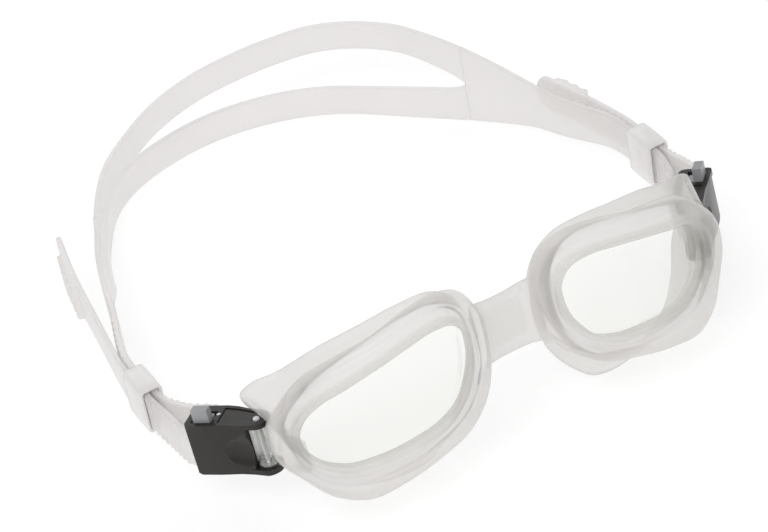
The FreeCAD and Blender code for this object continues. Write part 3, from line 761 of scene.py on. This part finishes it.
def strap_end(word, side):
    """Strap from the keeper round the buckle's bar and back, ribbed on the side facing the bar."""
    turn = 90.0 - math.degrees(SPLAY)
    away = math.radians(-turn)
    bend = arc((21.2, 0.3 - 5.0), 5.0, 90, 90 - turn, 10)
    run = [(bend[-1][0] + math.cos(away) * d, bend[-1][1] + math.sin(away) * d) for d in (4, 9)]
    outer = [(7.0, 0.3), (14.0, 0.3)] + bend + run
    wrap = arc((7.0, -2.6), 2.9, 90, 250, 12)
    inner = [(10.0, -6.6), (14.0, -8.7), (18.5, -10.2), (23.5, -10.4)]
    local = outer[::-1] + wrap[1:] + inner
    points = [buckle_point(side, u, w) for u, w in local]
    first = points[0]
    tail = [Vector((side * TAIL_X, y, STRAP_MID)) for y in (SEAM_Y, -24.0, -30.0)]
    main = [Vector((side * 84.7, -36.5, 19.9)), Vector((side * 86.1, -30.5, 19.2))]
    main += [Vector((side * STRAP_X, y, STRAP_MID)) for y in (-25.0, SEAM_Y)]
    points = smooth_path([p for p in tail if p.y > first.y + 2] + points + main, False, 4)
    mesh = bmesh.new()
    band(mesh, resample(points, 0.5), lambda point, where: (-STRAP_HALF_WIDE, STRAP_HALF_WIDE),
         lambda point, where: (0.85, 0.85), lean=buckle_lean, rib=ribs, outward=-side)
    return finish_mesh("strap_end_" + word, mesh)


def strap_tail(word, side, path, grip):
    """Free end outside the main band, with a stepped grip pad and a rounded tip."""
    line = smooth_path([(side * x, y, STRAP_MID) for x, y in path], False, 10)
    end = path[-1][1]
    points = resample(line, 0.5)

    def limits(point, where):
        round_off = max(0.0, 1.0 - (end - point[1]) / 5.0)
        half = STRAP_HALF_WIDE * math.sqrt(max(0.02, 1.0 - round_off**2))
        return -half, half

    def thickness(point, where):
        on_pad = ease((point[1] - grip[0]) / 0.8) * ease((grip[1] - point[1]) / 0.8)
        steps = 0.35 * math.sin((point[1] - grip[0]) * 1.5) * on_pad
        return 0.8, 0.8 + 1.6 * on_pad + steps

    mesh = bmesh.new()
    band(mesh, points, limits, thickness, outward=side)
    return finish_mesh("strap_tail_band_" + word, mesh)


def keeper(word, side):
    """Soft sleeve with rounded lips round both layers of strap."""
    mesh = bmesh.new()
    rows = []
    long = 13.0
    for inner, along in ((False, 0.6), (False, 3.0), (False, 6.5), (False, 10.0), (False, 12.4), (None, 13.0),
                         (True, 12.4), (True, 6.5), (True, 0.6), (None, 0.0)):
        if inner is None:
            wide, tall, corner = 6.1, 14.6, 0.9
        elif inner:
            wide, tall, corner = 5.0, 13.5, 0.5
        else:
            bulge = 0.25 * math.sin(math.pi * along / long)
            wide, tall, corner = 7.0 + bulge, 15.5 + bulge, 1.5
        row = []
        for offset, height in section(wide / 2, wide / 2, -tall / 2, tall / 2, corner):
            row.append((side * KEEPER_X + offset, KEEPER_FRONT + along, STRAP_MID + height))
        rows.append(row)
    add_grid(mesh, rows, wrap_rows=True)
    return finish_mesh("keeper_visual_" + word, mesh)


# ---------------------------------------------------------------- assembly

def build_eyes():
    """Silicone frame, bridge, stiffener and lenses."""
    for word, side in SIDES.items():
        glass = lens(word, side)
        wear(glass, LENS_PLASTIC)
        attach(glass, "goggles", "lens", "lens_" + word)
        for piece, look in ((lens_lug(word, side), LENS_PLASTIC), (hinge_barrel(word, side), CLEAR_PIN)):
            wear(piece, look)
            attach(piece, "goggles", "lens", "lens_" + word)
    moulding = nose_bridge()
    combine(moulding, [eyepiece(word, side) for word, side in SIDES.items()], "UNION")
    wear(moulding, FRAME_SILICONE)
    attach(moulding, "goggles", "frame_silicone", "silicone_frame")
    plate = bridge_insert()
    wear(plate, INSERT_PLASTIC)
    attach(plate, "goggles", "insert_plastic", "bridge_insert")


def build_buckles():
    """Housings, levers, pins and springs."""
    for word, side in SIDES.items():
        box = housing(word, side)
        wear(box, DARK_PLASTIC)
        attach(box, "buckle_" + word, "dark_plastic", "buckle_housing_" + word)
        tab = lever(word, side)
        wear(tab, GREY_PLASTIC)
        attach(tab, "lever_" + word, "grey_plastic", "release_lever_" + word)
        hinge, pivot, bar = pins(word, side)
        wear(hinge, PIN_PLASTIC)
        attach(hinge, "goggles", "clear_pin", "hinge_pin_" + word)
        wear(pivot, STEEL)
        attach(pivot, "buckle_" + word, "steel", "lever_pin_" + word)
        wear(bar, DARK_PLASTIC)
        attach(bar, "buckle_" + word, "dark_plastic", "strap_bar_" + word)
        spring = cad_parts["lever_spring_" + word]
        wear(spring, STEEL)


def build_strap():
    """Head strap, its ends in the buckles, the free tails and the keepers."""
    rear = head_strap()
    wear(rear, STRAP_SILICONE)
    attach(rear, "goggles", "strap_silicone", "head_strap")
    first = [(TAIL_X, y) for y in (SEAM_Y, -18.0, -10.0)] + [(87.7, -2.5)]
    paths = {"left": (first + [(85.2, 14.0), (81.6, 37.0), (76.4, 61.0)], (31.0, 49.0)),
             "right": (first + [(85.2, 11.0), (80.4, 31.0)], (11.0, 24.0))}
    for word, side in SIDES.items():
        tail = strap_tail(word, side, *paths[word])
        wear(tail, STRAP_SILICONE)
        attach(tail, "goggles", "strap_silicone", "strap_tail_" + word)
        end = strap_end(word, side)
        wear(end, STRAP_SILICONE)
        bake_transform(end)
        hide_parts("strap_loop_" + word)
        sleeve = keeper(word, side)
        wear(sleeve, KEEPER_SILICONE)
        attach(sleeve, "keeper_" + word, "keeper_silicone", "keeper_" + word)


# ---------------------------------------------------------------- studio

def area_light(name, place, aim, size, power):
    """Soft box light pointed at a place."""
    data = bpy.data.lights.new(name, "AREA")
    data.shape = "RECTANGLE"
    data.size, data.size_y = size
    data.energy = power
    obj = bpy.data.objects.new(name, data)
    bpy.context.scene.collection.objects.link(obj)
    obj.location = place
    obj.rotation_euler = (Vector(aim) - Vector(place)).to_track_quat("-Z", "Y").to_euler()


def studio():
    """Pale floor, even white surroundings and soft lights."""
    world = bpy.data.worlds.new("studio")
    world.use_nodes = True
    sky = world.node_tree.nodes["Background"]
    sky.inputs["Color"].default_value = (1.0, 1.0, 1.0, 1)
    sky.inputs["Strength"].default_value = 0.58
    bpy.context.scene.world = world
    mesh = bmesh.new()
    bmesh.ops.create_grid(mesh, x_segments=1, y_segments=1, size=3.0)
    floor = finish_mesh("floor", mesh)
    floor.location = (0, 0, -0.0002)
    paper, nodes, links, output = new_material("paper")
    matte = nodes.new("ShaderNodeBsdfDiffuse")
    matte.inputs["Color"].default_value = (0.4, 0.4, 0.4, 1)
    glow = nodes.new("ShaderNodeEmission")
    glow.inputs["Strength"].default_value = 0.67
    both = nodes.new("ShaderNodeAddShader")
    links.new(matte.outputs[0], both.inputs[0])
    links.new(glow.outputs[0], both.inputs[1])
    links.new(both.outputs[0], output.inputs["Surface"])
    wear(floor, paper)
    area_light("key", (-0.45, -0.5, 0.85), (0, 0, 0.02), (0.5, 0.35), 3.0)
    area_light("fill", (0.8, -0.35, 0.6), (0, 0, 0.02), (0.5, 0.5), 1.0)
    area_light("back", (0.1, 0.9, 0.7), (0, 0, 0.02), (0.9, 0.35), 1.8)


def camera():
    """Camera at the front left, looking down on the goggles and rolled a little."""
    azimuth, elevation, roll = (math.radians(a) for a in (-23.3, 38.0, 10.9))
    right = Vector((math.cos(azimuth), math.sin(azimuth), 0))
    back = Vector((math.sin(azimuth) * math.cos(elevation), -math.cos(azimuth) * math.cos(elevation),
                   math.sin(elevation)))
    up = back.cross(right)
    distance, aim = 900.0, Vector((0, -68.0, 24.0))
    shift_right, shift_up = -28.5, 20.6
    x = shift_right * math.cos(roll) + shift_up * math.sin(roll)
    y = -shift_right * math.sin(roll) + shift_up * math.cos(roll)
    target = aim + right * x + up * y
    data = bpy.data.cameras.new("camera")
    data.sensor_width = 36.0
    data.lens = 147.7
    data.clip_start = 0.05
    obj = bpy.data.objects.new("camera", data)
    bpy.context.scene.collection.objects.link(obj)
    up_turned = right * math.sin(roll) + up * math.cos(roll)
    right_turned = up_turned.cross(back)
    place = (target + back * distance) * MM
    turn = Matrix((right_turned, up_turned, back)).transposed().to_4x4()
    obj.matrix_world = Matrix.Translation(place) @ turn
    bpy.context.scene.camera = obj


build_eyes()
build_buckles()
build_strap()
studio()
camera()
bpy.context.scene.view_settings.view_transform = "Standard"
